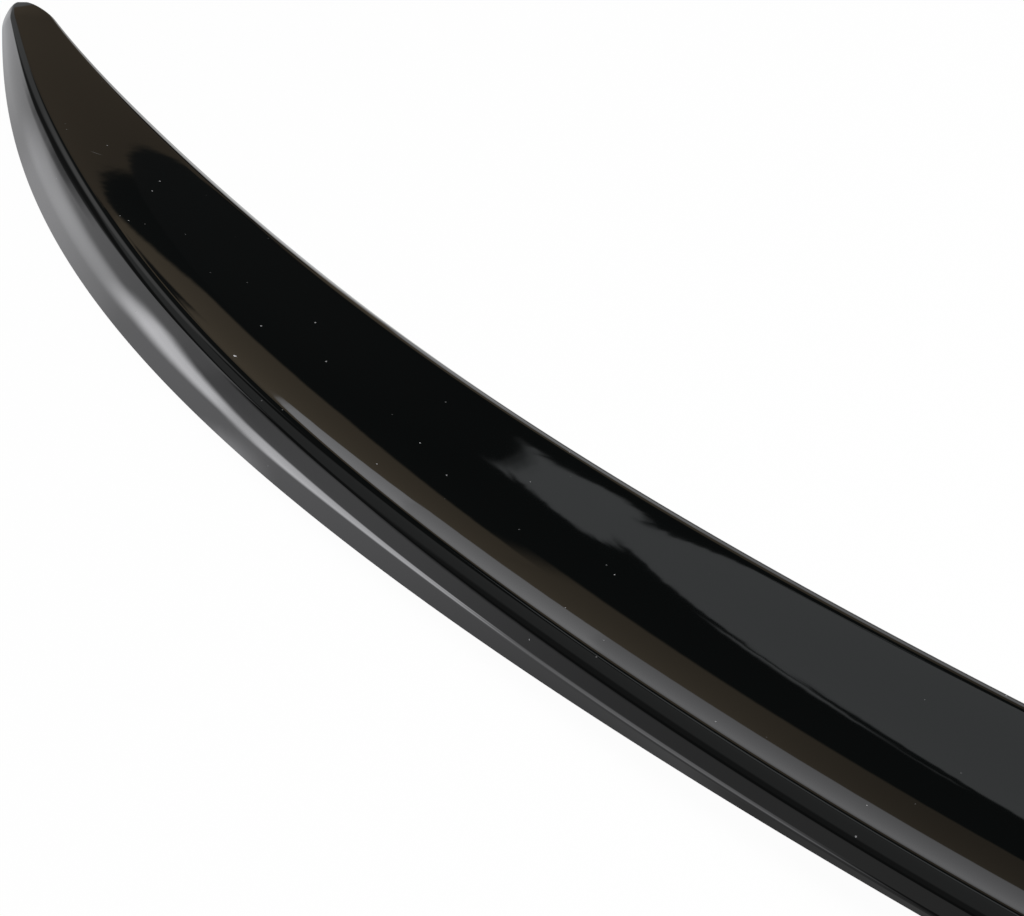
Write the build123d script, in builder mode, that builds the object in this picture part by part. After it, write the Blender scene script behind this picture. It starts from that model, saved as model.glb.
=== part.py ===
"""A boot-lid lip spoiler: one moulded shell, swept in plan, hollow and ribbed underneath.

Millimetres and degrees. X runs to the car's right, Y forwards, Z up. The base lies on Z = 0, and the origin is
the middle of the rear tape land on the car's centre line.
"""

import os
from math import atan2, cos, floor, radians, sin, sqrt, tan

from build123d import *

# Plan form
span = 1100.0               # over both tips
sweep = 147.7               # how far the tips lead the centre, along the middle of the base
late_sweep = 0.545          # share of the sweep that grows with the fourth power of the span, not the second
tip_easing = 0.13           # share taken back with the sixth power, so that the ends run straight to the tips
chord = 75.0                # width of the base at the centre
chord_power = 5.92          # how late the width starts to taper
chord_fullness = 3.0        # how straight the taper runs to the tip
chord_run_out = 88.5        # how far past the tips the width would close
tip_round = 17.0            # length over which each tip is rounded off

# Ridge and rear face, at the centre and at the ends
ridge_height = 16.5
height_power = 6.0          # how late the ridge starts to come down
height_run_out = 14.0       # how far past the tips the ridge would meet the base
ridge_radius = 5.0
shoulder = 448.0            # distance from the centre beyond which the rear face keeps its end form
crease_share = 0.60         # height of the crease as a share of the ridge's
crease_radius_centre = 2.5
crease_radius_end = 45.0
crease_fade = 3.6           # how late the crease starts to soften
crease_room = 0.95          # most of the shorter facet that the crease's rounding may take
lower_lean_centre = -32.0   # lean of the rear face below the crease, forwards from upright
lower_lean_end = 36.0
upper_lean_centre = 29.0    # lean of the rear face above the crease
upper_lean_end = 50.5

# Ramp from the ridge down to the leading edge
ramp_steepening = 21.0      # how much steeper than its mean slope the ramp is at the ridge
ramp_easing = 7.0           # how much flatter than its mean slope it is at the nose
ramp_pull = 0.33            # share of the ramp's length over which each end keeps its slope
nose_thickness = 4.0
nose_length = 6.2

# Underside
wall = 2.5
inner_radius = 1.5          # inside corner under the ridge
rear_land = 9.0             # tape land along the rear edge
front_land = 14.0           # tape land along the leading edge
solid_tip = 80.0            # length of each end that is too thin to hollow out
rib_thickness = 2.0
rib_pitch = 70.0
rib_recess = 1.0            # how far the ribs stay above the base
base_stock = 1.0            # what the sections carry below the base, faced off flat at the end

# Stations of the outer skin, by their angle on a circle over the span and on another over each rounded tip
station_step = 5
tip_step = 18
tip_end = 72                # angle at which the rounded tip ends in a small flat
hollow_steps = 8            # bays of the hollow on each side of the centre

half_span = span / 2
tip_start = half_span - tip_round
hollow_half = half_span - solid_tip


def mix(centre, end, share):
    return centre + (end - centre) * share


class Section:
    """The upright cut across the spoiler at x, in its own plane: first number forwards, second up."""

    def __init__(self, x):
        into_tip = max(0.0, abs(x) - tip_start) / tip_round
        rounding = sqrt(1 - into_tip**2)
        chord_taper = 1 - (abs(x) / (half_span + chord_run_out)) ** chord_power
        height_taper = 1 - (abs(x) / (half_span + height_run_out)) ** height_power
        self.chord = chord * chord_taper**chord_fullness * rounding
        self.height = ridge_height * height_taper * rounding

        # Where the section stands: across the spine, which is the middle of the base
        along = x / half_span
        early_sweep = 1 - late_sweep + tip_easing
        spine_y = sweep * (early_sweep * along**2 + late_sweep * along**4 - tip_easing * along**6)
        slope_share = 2 * early_sweep * along + 4 * late_sweep * along**3 - 6 * tip_easing * along**5
        slope = slope_share * sweep / half_span
        forward = Vector(-slope, 1).normalized()
        middle = Vector(x, spine_y + chord / 2 - rear_land / 2)
        self.plane = Plane(
            origin=middle - forward * (self.chord / 2),
            x_dir=forward,
            z_dir=(forward.Y, -forward.X, 0),
        )

        # Rear face: two leaning facets that meet at the crease
        share = min(1.0, abs(x) / shoulder)
        share = share**2 * (3 - 2 * share)
        shrink = self.height / ridge_height
        lower = radians(mix(lower_lean_centre, lower_lean_end, share))
        upper = radians(mix(upper_lean_centre, upper_lean_end, share))
        crease_z = self.height * crease_share
        self.stock_rear = Vector(-base_stock * tan(lower), -base_stock)
        self.crease = Vector(crease_z * tan(lower), crease_z)

        # Ridge: a roll that touches the upper facet and the ramp
        self.roll = ridge_radius * sqrt(height_taper) * rounding
        roll_z = self.height - self.roll
        facet_rise = roll_z + self.roll * sin(upper) - crease_z
        self.rear_normal = Vector(-cos(upper), sin(upper))
        self.ridge_rear = self.crease + Vector(facet_rise * tan(upper), facet_rise)
        self.roll_centre = self.ridge_rear - self.rear_normal * self.roll
        self.ridge_top = self.roll_centre + Vector(0, self.roll)

        # Rounding of the crease, as far as the shorter facet leaves room for it
        shorter_facet = min(crease_z / cos(lower), facet_rise / cos(upper))
        largest_radius = crease_room * shorter_facet / tan((upper - lower) / 2)
        soft_radius = mix(crease_radius_centre, crease_radius_end, share**crease_fade) * shrink
        self.crease_radius = min(soft_radius, largest_radius)

        # Ramp and nose
        self.nose_z = nose_thickness * shrink
        self.nose_run = nose_length * self.chord / chord
        self.nose_top = Vector(self.chord - self.nose_run, self.nose_z)
        self.nose_edge = Vector(self.chord, 0)
        self.stock_front = Vector(self.chord, -base_stock)
        fall = self.ridge_top - self.nose_top
        mean_slope = atan2(fall.Y, -fall.X)
        dishing = 1 - along**2
        ridge_slope = mean_slope + radians(ramp_steepening) * dishing
        self.nose_slope = mean_slope - radians(ramp_easing) * dishing
        self.ramp_normal = Vector(sin(ridge_slope), cos(ridge_slope))
        self.ramp_direction = Vector(cos(ridge_slope), -sin(ridge_slope))
        self.nose_direction = Vector(cos(self.nose_slope), -sin(self.nose_slope))
        self.ridge_front = self.roll_centre + self.ramp_normal * self.roll

    def ramp(self, start, end):
        """Control points of a ramp curve between two points, with the section's slopes at its ends."""
        pull = (end - start).length * ramp_pull
        return start, start + self.ramp_direction * pull, end - self.nose_direction * pull, end

    def draw_skin(self):
        """The outer outline: rear face, ridge, ramp and nose, with the stock below the base."""
        FilletPolyline(self.stock_rear, self.crease, self.ridge_rear, radius=[self.crease_radius])
        ThreePointArc(self.ridge_rear, self.ridge_top, self.ridge_front)
        Bezier(*self.ramp(self.ridge_front, self.nose_top))
        TangentArc(self.nose_top, self.nose_edge, tangent=self.nose_direction)
        Polyline(self.nose_edge, self.stock_front, self.stock_rear)

    def draw_hollow(self):
        """The outline of the hollow: one wall thick over the ramp and the ridge, open between the tape lands."""
        inner_centre = self.roll_centre + (self.rear_normal + self.ramp_normal) * (
            (self.roll - wall - inner_radius) / (1 + self.rear_normal.dot(self.ramp_normal))
        )
        middle_normal = (self.rear_normal + self.ramp_normal).normalized()
        rear_top = inner_centre + self.rear_normal * inner_radius
        roll_top = inner_centre + middle_normal * inner_radius
        ramp_top = inner_centre + self.ramp_normal * inner_radius
        rear_edge = Vector(rear_land, 0)
        rear_foot = rear_edge + (rear_edge - rear_top) * (base_stock / rear_top.Y)
        front_run = front_land - self.nose_run
        front_z = self.nose_z + front_run * tan(self.nose_slope) - wall / cos(self.nose_slope)
        front_top = Vector(self.chord - front_land, front_z)
        front_foot = Vector(self.chord - front_land, -base_stock)
        Line(rear_foot, rear_top)
        ThreePointArc(rear_top, roll_top, ramp_top)
        Bezier(*self.ramp(ramp_top, front_top))
        Polyline(front_top, front_foot, rear_foot)


skin_side = [tip_start * sin(radians(angle)) for angle in range(station_step, 90, station_step)]
skin_side += [tip_start + tip_round * sin(radians(angle)) for angle in range(0, tip_end + 1, tip_step)]
skin_stations = [-x for x in reversed(skin_side)] + [0.0] + skin_side
hollow_stations = [hollow_half * step / hollow_steps for step in range(-hollow_steps, hollow_steps + 1)]
ribs_a_side = floor((hollow_half - rib_thickness) / rib_pitch)
rib_stations = [rib_pitch * count for count in range(-ribs_a_side, ribs_a_side + 1)]

# Hollow of the underside, between the two tape lands, with the cross ribs left standing in it
with BuildPart() as hollow:
    for x in hollow_stations:
        section = Section(x)
        with BuildSketch(section.plane):
            with BuildLine():
                section.draw_hollow()
            make_face()
    loft()
    for x in rib_stations:
        section = Section(x)
        with BuildSketch(section.plane):
            with Locations((chord / 2, rib_recess)):
                Rectangle(2 * chord, ridge_height, align=(Align.CENTER, Align.MIN))
    extrude(amount=rib_thickness / 2, both=True, mode=Mode.SUBTRACT)

# Outer skin, hollowed out and faced off flat along the base
with BuildPart() as spoiler:
    for x in skin_stations:
        section = Section(x)
        with BuildSketch(section.plane):
            with BuildLine():
                section.draw_skin()
            make_face()
    loft()
    add(hollow.part, mode=Mode.SUBTRACT)
    split(bisect_by=Plane.XY)

spoiler.part.label = "spoiler"

os.makedirs("parts", exist_ok=True)
export_step(spoiler.part, "parts/spoiler.step")
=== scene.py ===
"""A gloss-black lip spoiler for a boot lid, lying on a white studio floor.

Metres and degrees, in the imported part's frame: X to the car's right, Y forwards, Z up, the base on Z = 0.
"""

from typing import NamedTuple

import bpy
import numpy as np
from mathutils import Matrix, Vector


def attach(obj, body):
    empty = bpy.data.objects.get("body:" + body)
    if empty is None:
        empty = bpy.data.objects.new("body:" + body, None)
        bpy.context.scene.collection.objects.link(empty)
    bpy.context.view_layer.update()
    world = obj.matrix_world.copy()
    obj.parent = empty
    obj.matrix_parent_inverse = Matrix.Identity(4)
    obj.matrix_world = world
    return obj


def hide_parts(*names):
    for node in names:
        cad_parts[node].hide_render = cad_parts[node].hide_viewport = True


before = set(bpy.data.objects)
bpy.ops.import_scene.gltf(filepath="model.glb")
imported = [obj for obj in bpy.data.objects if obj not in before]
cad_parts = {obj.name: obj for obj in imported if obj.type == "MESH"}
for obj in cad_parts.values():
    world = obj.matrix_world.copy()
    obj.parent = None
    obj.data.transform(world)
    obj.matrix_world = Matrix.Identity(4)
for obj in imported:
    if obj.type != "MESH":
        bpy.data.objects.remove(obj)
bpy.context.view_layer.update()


class Card(NamedTuple):
    """A soft-edged patch of the studio round the object.

    Azimuths go from straight ahead towards the car's left, elevations up from the floor. The softness is that
    of the sides, the foot and the top. A tilt raises the card by so much a degree past an azimuth. A ragged
    card has streaky edges.
    """

    colour: tuple
    azimuths: tuple
    elevations: tuple
    softness: tuple
    tilt: float = 0.0
    tilt_from: float = 0.0
    ragged: bool = False


# Plan form, as in the part's source
span = 1.100
sweep = 0.1477              # how far the tips lead the centre
late_sweep = 0.545          # share of the sweep that grows with the fourth power of the span
tip_easing = 0.13           # share taken back with the sixth power
chord = 0.075
chord_power = 5.92          # how late the width starts to taper
chord_fullness = 3.0        # how straight the taper runs to the tip
chord_run_out = 0.0885      # how far past the tips the width would close
tip_round = 0.017           # length over which each tip is rounded off
tip_end = 72.0              # angle at which the rounded tip ends in a small flat

# Ridge and rear face, each pair at the centre and at the ends
ridge_height = 0.0165
height_power = 6.0          # how late the ridge starts to come down
height_run_out = 0.014      # how far past the tips the ridge would meet the base
ridge_radius = 0.005
shoulder = 0.448            # distance from the centre beyond which the rear face keeps its end form
crease_share = 0.60         # height of the crease as a share of the ridge's
crease_radius = (0.0025, 0.045)
crease_fade = 3.6           # how late the crease starts to soften
crease_room = 0.95          # most of the shorter facet that the crease's rounding may take
lower_lean = (-32.0, 36.0)  # below the crease, forwards from upright
upper_lean = (29.0, 50.5)   # above the crease

# Ramp and nose
ramp_steepening = 21.0      # how much steeper than its mean slope the ramp is at the ridge
ramp_easing = 7.0           # how much flatter than its mean slope it is at the nose
ramp_pull = 0.33            # share of the ramp's length over which each end keeps its slope
nose_thickness = 0.004
nose_length = 0.0062

# Underside
wall = 0.0025
inner_radius = 0.0015       # inside corner under the ridge
rear_land = 0.009
front_land = 0.014
solid_tip = 0.080           # length of each end that is too thin to hollow out
rib_thickness = 0.002
rib_pitch = 0.070
rib_recess = 0.001          # how far the ribs stay above the base
rib_root = 0.001            # how deep the ribs are set into the walls

# Fineness of the mesh
hollow_stations = 300
end_stations = 50
tip_stations = 14
facet_points = 5
crease_points = 24
roll_points = 16
ramp_points = 60
nose_points = 10
sharp_edge = 30.0           # edges that turn by more than this aren't shaded smooth

# Materials of the moulding, by their slot
gloss_slot = 0
satin_slot = 1

# Camera
camera_target = Vector((-0.2184, 0.0709, 0.0))
camera_azimuth = -143.0
camera_elevation = 40.0
camera_distance = 0.590
camera_near = 0.01
sensor_width = 36.0         # millimetres
focal_pixels = 2000.0
image_width = 1024

# Key light and floor
key_azimuth = -70.0
key_elevation = 52.0
key_distance = 2.0
key_size = 1.2
key_power = 52.0
half_floor = 1.5
floor_colour = (0.85, 0.85, 0.85, 1)
floor_white_seen = 0.97     # share of plain white in the floor; the rest shows the shadow
white = (1, 1, 1, 1)

# Gloss plastic, with fine dust and with specks as (place, half size, turn, strength)
gloss_colour = (0.0015, 0.0018, 0.0018, 1)
gloss_roughness = 0.03
gloss_ior = 1.6
peel_scale = 160.0
peel_detail = 1.0
peel_strength = 0.006
peel_depth = 0.001
dust_colour = (0.42, 0.42, 0.43, 1)
dust_roughness = 0.9
dust_scale = 260.0
dust_size = 0.08            # radius of a grain as a share of the dust's pitch
dust_core = 0.5             # share of a grain's radius at which it starts to fade
dust_share = 0.16           # share of the places that hold a grain
dust_unevenness = 2.0       # power on a grain's random strength, so that weak ones are commoner
no_turn = (0.0, 0.0, 0.0)
hair_turn = (0.0, 0.0, 0.40)
large_speck = (0.0007, 0.0007, 0.0007)
small_speck = (0.0004, 0.0004, 0.0004)
hair_size = (0.0032, 0.0003, 0.0010)
specks = (
    ((-0.3034, 0.0447, 0.0148), large_speck, no_turn, 1.0),
    ((-0.3978, 0.1034, 0.0075), small_speck, no_turn, 0.6),
    ((-0.4016, 0.1107, 0.0063), small_speck, no_turn, 0.6),
    ((-0.3134, 0.0666, 0.0088), small_speck, no_turn, 0.6),
    ((-0.3038, 0.0810, 0.0060), small_speck, no_turn, 0.6),
    ((-0.2865, 0.0665, 0.0073), small_speck, no_turn, 0.6),
    ((-0.4282, 0.1068, 0.0098), hair_size, hair_turn, 0.12),
)
speck_core = 0.5            # share of a speck's half size at which it starts to fade

# Satin underside
satin_dark = (0.008, 0.008, 0.008, 1)
satin_light = (0.018, 0.018, 0.018, 1)
satin_roughness = 0.5
grain_scale = 900.0
grain_detail = 3.0
grain_strength = 0.15
grain_depth = 0.0005

# The studio round the object: a grey dome with cards painted on it, each over those before it
dome_colour = (0.24, 0.245, 0.245, 1)
streak_length = 8.0         # degrees along the edge of a ragged card
streak_width = 1.1          # degrees across it
streak_height = 0.6         # degrees by which the streaks shift its edges up or down
streak_detail = 2.0
streak_range = (0.35, 0.65)  # values of the noise between which the shift runs its full range
far_below = -50.0
cards = (
    # Ground: dark all round, grey in front and bright at the left
    Card((0.07, 0.07, 0.07), (-200.0, 200.0), (-100.0, -10.0), (1.0, 1.0, 20.0)),
    Card((0.22, 0.22, 0.22), (-60.0, 62.0), (far_below, 0.0), (6.0, 10.0, 4.0)),
    Card((1.05, 1.05, 1.08), (60.0, 150.0), (-42.0, 4.0), (20.0, 80.0, 4.0)),
    # Dark walls, with a grey window at the front left and a dark bar over it
    Card((0.018, 0.020, 0.020), (-200.0, 45.0), (8.0, 46.0), (10.0, 4.0, 4.0)),
    Card((0.48, 0.48, 0.48), (50.0, 68.0), (26.0, 40.0), (8.0, 10.0, 3.0)),
    Card((0.030, 0.030, 0.030), (39.0, 66.0), (41.0, 47.0), (6.0, 2.5, 4.0)),
    Card((0.045, 0.045, 0.045), (72.0, 200.0), (6.0, 31.0), (8.0, 4.0, 4.0)),
    Card((0.09, 0.09, 0.09), (122.0, 200.0), (25.0, 50.0), (14.0, 6.0, 10.0)),
    # Brown wall in front, darker towards the right, and its lower parts towards the left
    Card((0.24, 0.196, 0.140), (-60.0, 24.3), (-9.0, 23.5), (2.5, 1.2, 1.2)),
    Card((0.17, 0.138, 0.100), (-60.0, 15.0), (-9.0, 23.5), (8.0, 1.2, 1.2)),
    Card((0.24, 0.196, 0.140), (23.5, 32.8), (-3.0, 19.3), (0.6, 3.0, 1.2), tilt=-0.6, tilt_from=29.5),
    Card((0.15, 0.121, 0.088), (32.4, 46.0), (far_below, 9.4), (0.6, 1.2, 0.8), tilt=1.8, tilt_from=32.0),
    # Light on the ground at the front left
    Card((0.6, 0.6, 0.6), (33.0, 52.0), (far_below, -11.0), (4.0, 10.0, 6.0)),
    Card((1.1, 1.1, 1.1), (28.8, 36.5), (far_below, 0.0), (4.0, 10.0, 4.0)),
    # Grey wall high in front, with a dark wall at its left
    Card((0.028, 0.030, 0.030), (34.5, 49.0), (19.0, 44.0), (8.0, 0.5, 4.0)),
    Card(
        (0.465, 0.485, 0.495),
        (-40.0, 31.4),
        (35.5, 44.0),
        (0.8, 0.6, 0.6),
        tilt=-0.72,
        tilt_from=27.0,
        ragged=True,
    ),
    # White board low in front, brighter towards its left end, with a dark gap beside it
    Card((0.020, 0.020, 0.020), (30.4, 36.0), (2.0, 8.8), (0.6, 3.0, 1.2)),
    Card((0.60, 0.60, 0.615), (-60.0, 28.05), (-9.0, 8.3), (0.5, 1.5, 0.8), tilt=-0.6, tilt_from=24.0),
    Card((0.84, 0.84, 0.86), (25.0, 28.05), (-9.0, 8.3), (0.5, 1.5, 0.8), tilt=-0.6, tilt_from=24.0),
    Card((0.72, 0.72, 0.735), (20.0, 25.0), (-9.0, 8.3), (0.5, 1.5, 0.8)),
    # Pale walls at the left and the rear
    Card((0.33, 0.33, 0.33), (150.0, 188.0), (-14.0, 13.0), (20.0, 12.0, 3.0)),
    Card((1.0, 1.0, 1.02), (77.0, 112.0), (-30.0, 2.2), (4.0, 20.0, 2.5), tilt=0.75, tilt_from=77.0),
    Card((0.80, 0.80, 0.82), (104.0, 145.0), (-4.0, 20.0), (40.0, 10.0, 2.5), tilt=-0.3, tilt_from=125.0),
    # Bright strips on them
    Card((1.9, 1.9, 1.95), (86.0, 107.0), (-4.5, 8.5), (8.0, 10.0, 6.0)),
    Card((2.4, 2.4, 2.46), (92.0, 109.0), (0.0, 8.5), (8.0, 9.0, 8.0)),
    Card((5.2, 5.2, 5.35), (106.0, 120.0), (-1.0, 14.5), (7.0, 13.0, 9.0), tilt=-0.9, tilt_from=108.0),
    Card((4.8, 4.8, 4.95), (119.5, 140.0), (-23.0, 3.5), (6.0, 12.0, 7.0)),
    Card((1.5, 1.5, 1.54), (138.0, 157.0), (-44.0, -3.0), (10.0, 14.0, 6.0)),
)

half_span = span / 2
tip_start = half_span - tip_round
hollow_half = half_span - solid_tip


def pair(forward, up):
    """Points or directions in the section planes, one a station."""
    return np.stack(np.broadcast_arrays(forward, up), axis=-1)


def scaled(directions, lengths):
    """Each direction times its length."""
    return directions * lengths[..., None]


def steps(count):
    """Even shares from nought towards one, the one left out."""
    return np.linspace(0, 1, count, endpoint=False)


def line(start, end, count):
    """Points from start towards end at each station, the end left out."""
    t = steps(count)[:, None]
    return start[:, None] * (1 - t) + end[:, None] * t


def arc(centre, radius, first, last, count):
    """Points round centre from the angle first towards the angle last, the last left out."""
    angle = first[:, None] + (last - first)[:, None] * steps(count)
    return centre[:, None] + scaled(pair(np.cos(angle), np.sin(angle)), radius[:, None])


class Sections:
    """The upright cuts across the spoiler at each x, in planes of their own: forwards and up."""

    def __init__(self, x):
        into_tip = np.maximum(0.0, np.abs(x) - tip_start) / tip_round
        rounding = np.sqrt(1 - into_tip**2)
        chord_taper = 1 - (np.abs(x) / (half_span + chord_run_out)) ** chord_power
        height_taper = 1 - (np.abs(x) / (half_span + height_run_out)) ** height_power
        self.chord = chord * chord_taper**chord_fullness * rounding
        self.height = ridge_height * height_taper * rounding

        # Where each section stands: across the spine, which is the middle of the base
        along = x / half_span
        early_sweep = 1 - late_sweep + tip_easing
        spine_y = sweep * (early_sweep * along**2 + late_sweep * along**4 - tip_easing * along**6)
        slope_share = 2 * early_sweep * along + 4 * late_sweep * along**3 - 6 * tip_easing * along**5
        slope = slope_share * sweep / half_span
        self.forward = pair(-slope, 1.0) / np.hypot(slope, 1.0)[:, None]
        middle = pair(x, spine_y + chord / 2 - rear_land / 2)
        self.origin = middle - scaled(self.forward, self.chord / 2)

        # Rear face: two leaning facets that meet at the crease
        share = np.minimum(1.0, np.abs(x) / shoulder)
        share = share**2 * (3 - 2 * share)
        shrink = self.height / ridge_height
        self.lower = np.radians(np.interp(share, (0, 1), lower_lean))
        self.upper = np.radians(np.interp(share, (0, 1), upper_lean))
        crease_z = self.height * crease_share
        self.base_rear = pair(0.0, 0.0 * x)
        self.crease = pair(crease_z * np.tan(self.lower), crease_z)

        # Ridge: a roll that touches the upper facet and the ramp
        self.roll = ridge_radius * np.sqrt(height_taper) * rounding
        roll_z = self.height - self.roll
        facet_rise = roll_z + self.roll * np.sin(self.upper) - crease_z
        self.rear_normal = pair(-np.cos(self.upper), np.sin(self.upper))
        self.ridge_rear = self.crease + pair(facet_rise * np.tan(self.upper), facet_rise)
        self.roll_centre = self.ridge_rear - scaled(self.rear_normal, self.roll)
        ridge_top = self.roll_centre + pair(0.0, self.roll)

        # Rounding of the crease, as far as the shorter facet leaves room for it
        shorter_facet = np.minimum(crease_z / np.cos(self.lower), facet_rise / np.cos(self.upper))
        largest_radius = crease_room * shorter_facet / np.tan((self.upper - self.lower) / 2)
        soft_radius = np.interp(share**crease_fade, (0, 1), crease_radius) * shrink
        self.crease_radius = np.minimum(soft_radius, largest_radius)

        # Ramp and nose
        self.nose_z = nose_thickness * shrink
        self.nose_run = nose_length * self.chord / chord
        self.nose_top = pair(self.chord - self.nose_run, self.nose_z)
        self.nose_edge = pair(self.chord, 0.0)
        fall = ridge_top - self.nose_top
        mean_slope = np.arctan2(fall[:, 1], -fall[:, 0])
        dishing = 1 - along**2
        self.ridge_slope = mean_slope + np.radians(ramp_steepening) * dishing
        self.nose_slope = mean_slope - np.radians(ramp_easing) * dishing
        self.ramp_normal = pair(np.sin(self.ridge_slope), np.cos(self.ridge_slope))
        self.ramp_direction = pair(np.cos(self.ridge_slope), -np.sin(self.ridge_slope))
        self.nose_direction = pair(np.cos(self.nose_slope), -np.sin(self.nose_slope))
        self.ridge_front = self.roll_centre + scaled(self.ramp_normal, self.roll)

    def ramp(self, start, end):
        """The ramp's cubic curve between two points, with the sections' slopes at its ends."""
        pull = np.linalg.norm(end - start, axis=1) * ramp_pull
        after_start = start + scaled(self.ramp_direction, pull)
        before_end = end - scaled(self.nose_direction, pull)
        t = steps(ramp_points)[:, None]
        return (
            (1 - t) ** 3 * start[:, None]
            + 3 * t * (1 - t) ** 2 * after_start[:, None]
            + 3 * t**2 * (1 - t) * before_end[:, None]
            + t**3 * end[:, None]
        )

    def skin(self):
        """The outer outlines, from the base's rear edge over the ridge to the leading edge."""
        crease_reach = self.crease_radius * np.tan((self.upper - self.lower) / 2)
        crease_start = self.crease - scaled(pair(np.sin(self.lower), np.cos(self.lower)), crease_reach)
        crease_end = self.crease + scaled(pair(np.sin(self.upper), np.cos(self.upper)), crease_reach)
        inwards = pair(np.cos(self.lower), -np.sin(self.lower))
        crease_centre = crease_start + scaled(inwards, self.crease_radius)
        nose_span = self.nose_edge - self.nose_top
        nose_inwards = pair(-np.sin(self.nose_slope), -np.cos(self.nose_slope))
        nose_radius = (nose_span**2).sum(axis=1) / (2 * (nose_span * nose_inwards).sum(axis=1))
        nose_centre = self.nose_top + scaled(nose_inwards, nose_radius)
        edge = self.nose_edge - nose_centre
        rear_angle = np.pi - self.upper
        ramp_angle = np.pi / 2 - self.ridge_slope
        nose_angle = np.pi / 2 - self.nose_slope
        edge_angle = np.arctan2(edge[:, 1], edge[:, 0])
        runs = [
            line(self.base_rear, crease_start, facet_points),
            arc(crease_centre, self.crease_radius, np.pi - self.lower, rear_angle, crease_points),
            line(crease_end, self.ridge_rear, facet_points),
            arc(self.roll_centre, self.roll, rear_angle, ramp_angle, roll_points),
            self.ramp(self.ridge_front, self.nose_top),
            arc(nose_centre, nose_radius, nose_angle, edge_angle, nose_points),
            self.nose_edge[:, None],
        ]
        return np.concatenate(runs, axis=1)

    def hollow(self, set_in=0.0):
        """The hollow's outlines from one land's edge to the other's, moved into the walls by set_in."""
        skin_depth = wall - set_in
        bisector = self.rear_normal + self.ramp_normal
        opening = 1 + (self.rear_normal * self.ramp_normal).sum(axis=1)
        centre = self.roll_centre + scaled(bisector, (self.roll - skin_depth - inner_radius) / opening)
        radius = np.full_like(self.roll, inner_radius)
        rear_top = centre + scaled(self.rear_normal, radius)
        ramp_top = centre + scaled(self.ramp_normal, radius)
        front_run = front_land - set_in - self.nose_run
        front_z = self.nose_z + front_run * np.tan(self.nose_slope) - skin_depth / np.cos(self.nose_slope)
        front_x = self.chord - front_land + set_in
        front_top = pair(front_x, front_z)
        runs = [
            line(pair(rear_land - set_in, 0.0 * self.roll), rear_top, facet_points),
            arc(centre, radius, np.pi - self.upper, np.pi / 2 - self.ridge_slope, roll_points),
            self.ramp(ramp_top, front_top),
            line(front_top, pair(front_x, 0.0), facet_points),
            pair(front_x, 0.0)[:, None],
        ]
        return np.concatenate(runs, axis=1)

    def place(self, outlines):
        """The outlines' points in the part's frame."""
        ground = self.origin[:, None] + self.forward[:, None] * outlines[..., :1]
        return np.concatenate([ground, outlines[..., 1:]], axis=-1)


class Shell:
    """Vertices and faces of the moulding, with the material index of each face."""

    def __init__(self):
        self.vertices = []
        self.faces = []
        self.materials = []

    def add_points(self, points):
        """Adds points and gives their indices in the same arrangement."""
        first = len(self.vertices)
        self.vertices.extend(points.reshape(-1, 3).tolist())
        return np.arange(first, len(self.vertices)).reshape(points.shape[:-1])

    def add_face(self, corners, material):
        self.faces.append([int(corner) for corner in corners])
        self.materials.append(material)

    def add_grid(self, index, material):
        """Quads between neighbouring rows and columns of an index grid."""
        for row, after in zip(index[:-1], index[1:]):
            for corner in zip(row[:-1], row[1:], after[1:], after[:-1]):
                self.add_face(corner, material)


def add_ribs(shell):
    """The cross ribs of the hollow, each a slab set into the walls round it."""
    ribs_a_side = int((hollow_half - rib_thickness) / rib_pitch)
    sections = Sections(rib_pitch * np.arange(-ribs_a_side, ribs_a_side + 1))
    outlines = sections.hollow(rib_root)
    outlines[..., 1] = np.maximum(outlines[..., 1], rib_recess)
    middle = sections.place(outlines)
    across = np.stack([sections.forward[:, 1], -sections.forward[:, 0], 0 * sections.chord], axis=1)
    half = across[:, None] * rib_thickness / 2
    for left, right in zip(middle - half, middle + half):
        left_ring = shell.add_points(left)
        right_ring = shell.add_points(right)
        shell.add_face(left_ring, satin_slot)
        shell.add_face(right_ring[::-1], satin_slot)
        closed = np.stack([np.append(left_ring, left_ring[0]), np.append(right_ring, right_ring[0])], axis=1)
        shell.add_grid(closed, satin_slot)


def build_spoiler():
    """The dense mesh of the whole moulding: skin, lands, hollow and ribs, closed all round."""
    tip_angles = np.radians(np.linspace(0, tip_end, tip_stations))
    ends = np.linspace(hollow_half, tip_start, end_stations)
    side = np.concatenate([ends[:-1], tip_start + tip_round * np.sin(tip_angles)])
    inner = np.linspace(-hollow_half, hollow_half, hollow_stations)
    x = np.concatenate([-side[:0:-1], inner, side[1:]])
    first = len(side) - 1
    last = first + len(inner) - 1

    shell = Shell()
    sections = Sections(x)
    skin = shell.add_points(sections.place(sections.skin()))
    hollow = shell.add_points(sections.place(sections.hollow())[first : last + 1])
    shell.add_grid(skin[:, ::-1], gloss_slot)
    shell.add_grid(hollow, satin_slot)
    middle = skin[first : last + 1]
    shell.add_grid(np.stack([middle[:, 0], hollow[:, 0]], axis=1), satin_slot)
    shell.add_grid(np.stack([hollow[:, -1], middle[:, -1]], axis=1), satin_slot)

    # Solid ends: the hollow's end walls, the plain base and the small flats of the tips
    for row, step, inner_row in ((first, -1, hollow[0]), (last, 1, hollow[-1])):
        turn = -step
        shell.add_face(inner_row[::turn], satin_slot)
        here = skin[row]
        beyond = skin[row + step]
        ring = [here[0], inner_row[0], inner_row[-1], here[-1], beyond[-1], beyond[0]]
        shell.add_face(ring[::turn], satin_slot)
    for rows in (range(first - 1, -1, -1), range(last + 1, len(x))):
        for row, after in zip(rows[:-1], rows[1:]):
            ring = [skin[row][0], skin[row][-1], skin[after][-1], skin[after][0]]
            shell.add_face(ring if after > row else ring[::-1], satin_slot)
    shell.add_face(skin[0], gloss_slot)
    shell.add_face(skin[-1][::-1], gloss_slot)

    add_ribs(shell)
    return shell


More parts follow.
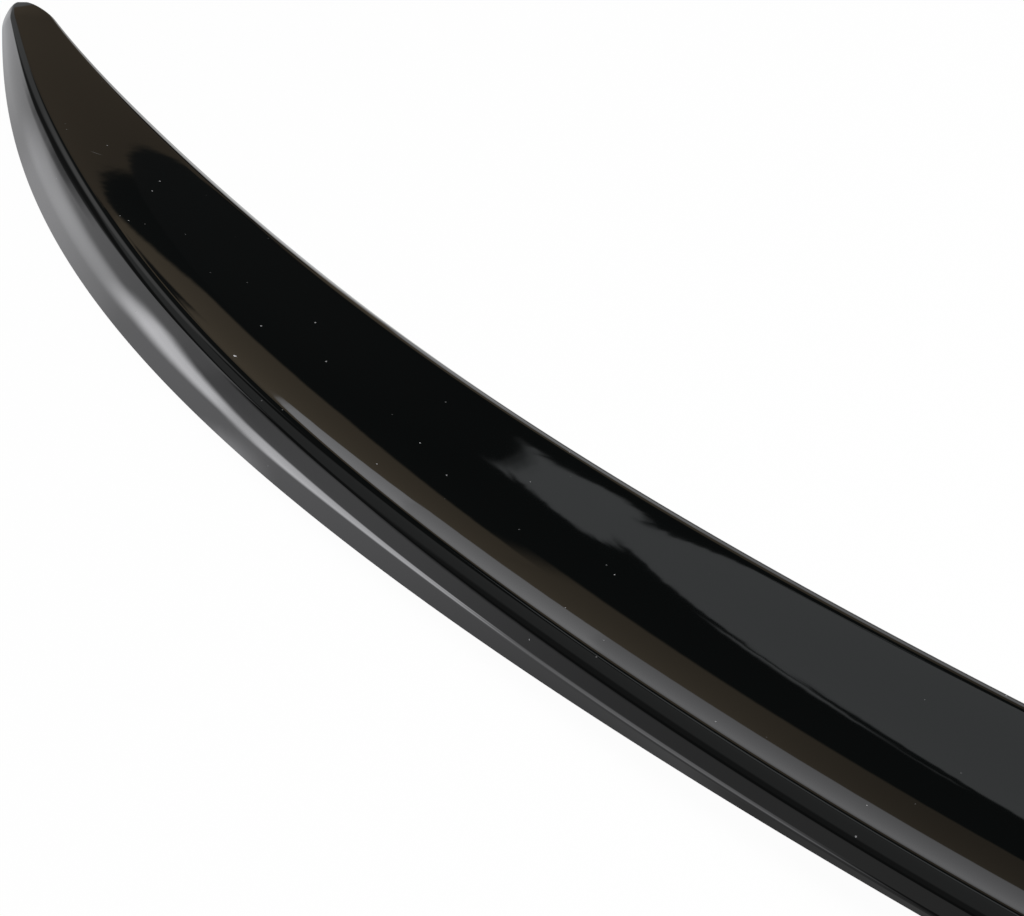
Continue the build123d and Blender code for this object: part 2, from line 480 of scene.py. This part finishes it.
class Nodes:
    """A node tree with short calls for the nodes used here."""

    def __init__(self, tree):
        self.tree = tree

    def add(self, kind, settings=None, values=None):
        """Adds a node; each value is a plain constant or an output to link from."""
        node = self.tree.nodes.new(kind)
        for name, setting in (settings or {}).items():
            setattr(node, name, setting)
        for name, value in (values or {}).items():
            socket = node.inputs[name]
            if isinstance(value, bpy.types.NodeSocket):
                self.tree.links.new(value, socket)
            else:
                socket.default_value = value
        return node

    def math(self, operation, first, second=0.0):
        node = self.add("ShaderNodeMath", {"operation": operation}, {0: first, 1: second})
        return node.outputs["Value"]

    def ease(self, value, low, high, start=0.0, end=1.0):
        """Runs smoothly from start to end while value goes from low to high."""
        settings = {"interpolation_type": "SMOOTHSTEP"}
        values = {"Value": value, "From Min": low, "From Max": high, "To Min": start, "To Max": end}
        return self.add("ShaderNodeMapRange", settings, values).outputs["Result"]

    def band(self, value, bounds, first_softness, last_softness):
        """One between the bounds, fading to nought over the softness at each."""
        first, last = bounds
        rise = self.ease(value, first - first_softness / 2, first + first_softness / 2)
        fall = self.ease(value, last - last_softness / 2, last + last_softness / 2, 1.0, 0.0)
        return self.math("MULTIPLY", rise, fall)

    def mix(self, share, under, over):
        """Colours mixed by a share; the numbers are those of the mix node's colour sockets."""
        node = self.add("ShaderNodeMix", {"data_type": "RGBA"}, {0: share, 6: under, 7: over})
        return node.outputs[2]

    def mix_shaders(self, share, under, over):
        values = {0: share, 1: under.outputs[0], 2: over.outputs[0]}
        return self.add("ShaderNodeMixShader", values=values)

    def noise(self, place, scale, detail):
        values = {"Vector": place, "Scale": scale, "Detail": detail}
        return self.add("ShaderNodeTexNoise", values=values).outputs[0]

    def bump(self, height, strength, depth):
        values = {"Height": height, "Strength": strength, "Distance": depth}
        return self.add("ShaderNodeBump", values=values).outputs["Normal"]


def gloss_black():
    """Gloss-black moulded plastic: faint orange peel, fine dust and the few larger specks."""
    material = bpy.data.materials.new("gloss_black")
    material.use_nodes = True
    nodes = Nodes(material.node_tree)
    shader = material.node_tree.nodes["Principled BSDF"]
    shader.inputs["IOR"].default_value = gloss_ior
    position = nodes.add("ShaderNodeTexCoord").outputs["Object"]

    peel = nodes.noise(position, peel_scale, peel_detail)
    bump = nodes.bump(peel, peel_strength, peel_depth)

    grains = nodes.add("ShaderNodeTexVoronoi", values={"Vector": position, "Scale": dust_scale})
    grain = nodes.ease(grains.outputs["Distance"], dust_size * dust_core, dust_size, 1.0, 0.0)
    picks = nodes.add("ShaderNodeSeparateColor", values={"Color": grains.outputs["Color"]})
    picked = nodes.math("GREATER_THAN", picks.outputs[0], 1 - dust_share)
    uneven = nodes.math("MULTIPLY", picked, nodes.math("POWER", picks.outputs[1], dust_unevenness))
    dust = nodes.math("MULTIPLY", grain, uneven)
    for place, half_size, turn, strength in specks:
        settings = {"vector_type": "TEXTURE"}
        values = {"Vector": position, "Location": place, "Rotation": turn, "Scale": half_size}
        local = nodes.add("ShaderNodeMapping", settings, values)
        length = nodes.add("ShaderNodeVectorMath", {"operation": "LENGTH"}, {0: local.outputs[0]})
        speck = nodes.ease(length.outputs["Value"], speck_core, 1.0, strength, 0.0)
        dust = nodes.math("MAXIMUM", dust, speck)

    colour = nodes.mix(dust, gloss_colour, dust_colour)
    roughness = nodes.ease(dust, 0.0, 1.0, gloss_roughness, dust_roughness)
    material.node_tree.links.new(colour, shader.inputs["Base Color"])
    material.node_tree.links.new(roughness, shader.inputs["Roughness"])
    material.node_tree.links.new(bump, shader.inputs["Normal"])
    return material


def satin_black():
    """The underside's plain moulded finish, finely grained."""
    material = bpy.data.materials.new("satin_black")
    material.use_nodes = True
    nodes = Nodes(material.node_tree)
    shader = material.node_tree.nodes["Principled BSDF"]
    position = nodes.add("ShaderNodeTexCoord").outputs["Object"]
    grain = nodes.noise(position, grain_scale, grain_detail)
    bump = nodes.bump(grain, grain_strength, grain_depth)
    shade = nodes.mix(grain, satin_dark, satin_light)
    shader.inputs["Roughness"].default_value = satin_roughness
    material.node_tree.links.new(shade, shader.inputs["Base Color"])
    material.node_tree.links.new(bump, shader.inputs["Normal"])
    return material


def white_floor():
    """A pale floor: white with a trace of the shadow to a camera above it, clear to all else."""
    material = bpy.data.materials.new("white_floor")
    material.use_nodes = True
    material.node_tree.nodes.clear()
    nodes = Nodes(material.node_tree)
    path = nodes.add("ShaderNodeLightPath").outputs
    behind = nodes.add("ShaderNodeNewGeometry").outputs["Backfacing"]
    seen = nodes.math("MAXIMUM", path["Is Camera Ray"], path["Is Transmission Ray"])
    seen_from_above = nodes.math("MULTIPLY", seen, nodes.math("SUBTRACT", 1.0, behind))
    matt = nodes.add("ShaderNodeBsdfDiffuse", values={"Color": floor_colour})
    glow = nodes.add("ShaderNodeEmission", values={"Color": white, "Strength": 1.0})
    pale = nodes.mix_shaders(floor_white_seen, matt, glow)
    clear = nodes.add("ShaderNodeBsdfTransparent")
    surface = nodes.mix_shaders(seen_from_above, clear, pale)
    nodes.add("ShaderNodeOutputMaterial", values={"Surface": surface.outputs[0]})
    return material


def studio_world():
    """The room round the object: a grey dome with the cards painted on it in order, white to the camera."""
    world = bpy.data.worlds.new("studio")
    world.use_nodes = True
    world.node_tree.nodes.clear()
    nodes = Nodes(world.node_tree)
    direction = nodes.add("ShaderNodeTexCoord").outputs["Generated"]
    parts = nodes.add("ShaderNodeSeparateXYZ", values={0: direction}).outputs
    leftward = nodes.math("MULTIPLY", parts["X"], -1.0)
    azimuth = nodes.math("DEGREES", nodes.math("ARCTAN2", leftward, parts["Y"]))
    elevation = nodes.math("DEGREES", nodes.math("ARCSINE", parts["Z"]))
    along_streaks = nodes.math("DIVIDE", azimuth, streak_length)
    across_streaks = nodes.math("DIVIDE", elevation, streak_width)
    streak_place = nodes.add("ShaderNodeCombineXYZ", values={"X": along_streaks, "Y": across_streaks})
    streaks = nodes.noise(streak_place.outputs[0], 1.0, streak_detail)
    swing = nodes.ease(streaks, *streak_range, -streak_height, streak_height)
    colour = dome_colour
    for card in cards:
        height = nodes.math("ADD", elevation, swing) if card.ragged else elevation
        if card.tilt:
            past = nodes.math("MAXIMUM", nodes.math("SUBTRACT", azimuth, card.tilt_from), 0.0)
            height = nodes.math("SUBTRACT", height, nodes.math("MULTIPLY", past, card.tilt))
        sides, foot, top = card.softness
        across = nodes.band(azimuth, card.azimuths, sides, sides)
        upright = nodes.band(height, card.elevations, foot, top)
        colour = nodes.mix(nodes.math("MULTIPLY", across, upright), colour, (*card.colour, 1))
    seen = nodes.add("ShaderNodeLightPath").outputs["Is Camera Ray"]
    colour = nodes.mix(seen, colour, white)
    background = nodes.add("ShaderNodeBackground", values={"Color": colour, "Strength": 1.0})
    nodes.add("ShaderNodeOutputWorld", values={"Surface": background.outputs[0]})
    return world


def heading(azimuth, elevation):
    """The direction at an azimuth from straight ahead towards the car's left, and an elevation."""
    turn = np.radians(azimuth)
    rise = np.radians(elevation)
    return Vector((-np.sin(turn) * np.cos(rise), np.cos(turn) * np.cos(rise), np.sin(rise)))


scene = bpy.context.scene

# Spoiler
shell = build_spoiler()
mesh = bpy.data.meshes.new("lip_spoiler")
mesh.from_pydata(shell.vertices, [], shell.faces)
mesh.materials.append(gloss_black())
mesh.materials.append(satin_black())
mesh.polygons.foreach_set("material_index", shell.materials)
mesh.polygons.foreach_set("use_smooth", [True] * len(shell.faces))
mesh.set_sharp_from_angle(angle=np.radians(sharp_edge))
spoiler = bpy.data.objects.new("lip_spoiler", mesh)
scene.collection.objects.link(spoiler)
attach(spoiler, "root")
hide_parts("spoiler")

# Camera
camera_data = bpy.data.cameras.new("camera")
camera_data.sensor_width = sensor_width
camera_data.lens = focal_pixels * sensor_width / image_width
camera_data.clip_start = camera_near
camera = bpy.data.objects.new("camera", camera_data)
scene.collection.objects.link(camera)
back = heading(camera_azimuth, camera_elevation)
camera.location = camera_target + back * camera_distance
camera.rotation_euler = back.to_track_quat("Z", "Y").to_euler()
scene.camera = camera

# Key light
key_data = bpy.data.lights.new("key", "AREA")
key_data.size = key_size
key_data.energy = key_power
key = bpy.data.objects.new("key", key_data)
scene.collection.objects.link(key)
towards_key = heading(key_azimuth, key_elevation)
key.location = towards_key * key_distance
key.rotation_euler = towards_key.to_track_quat("Z", "Y").to_euler()

# Floor
sides = ((-1, -1), (1, -1), (1, 1), (-1, 1))
corners = [(half_floor * right, half_floor * ahead, 0) for right, ahead in sides]
floor_mesh = bpy.data.meshes.new("floor")
floor_mesh.from_pydata(corners, [], [(0, 1, 2, 3)])
floor_mesh.materials.append(white_floor())
floor = bpy.data.objects.new("floor", floor_mesh)
scene.collection.objects.link(floor)

scene.world = studio_world()
scene.view_settings.view_transform = "Standard"
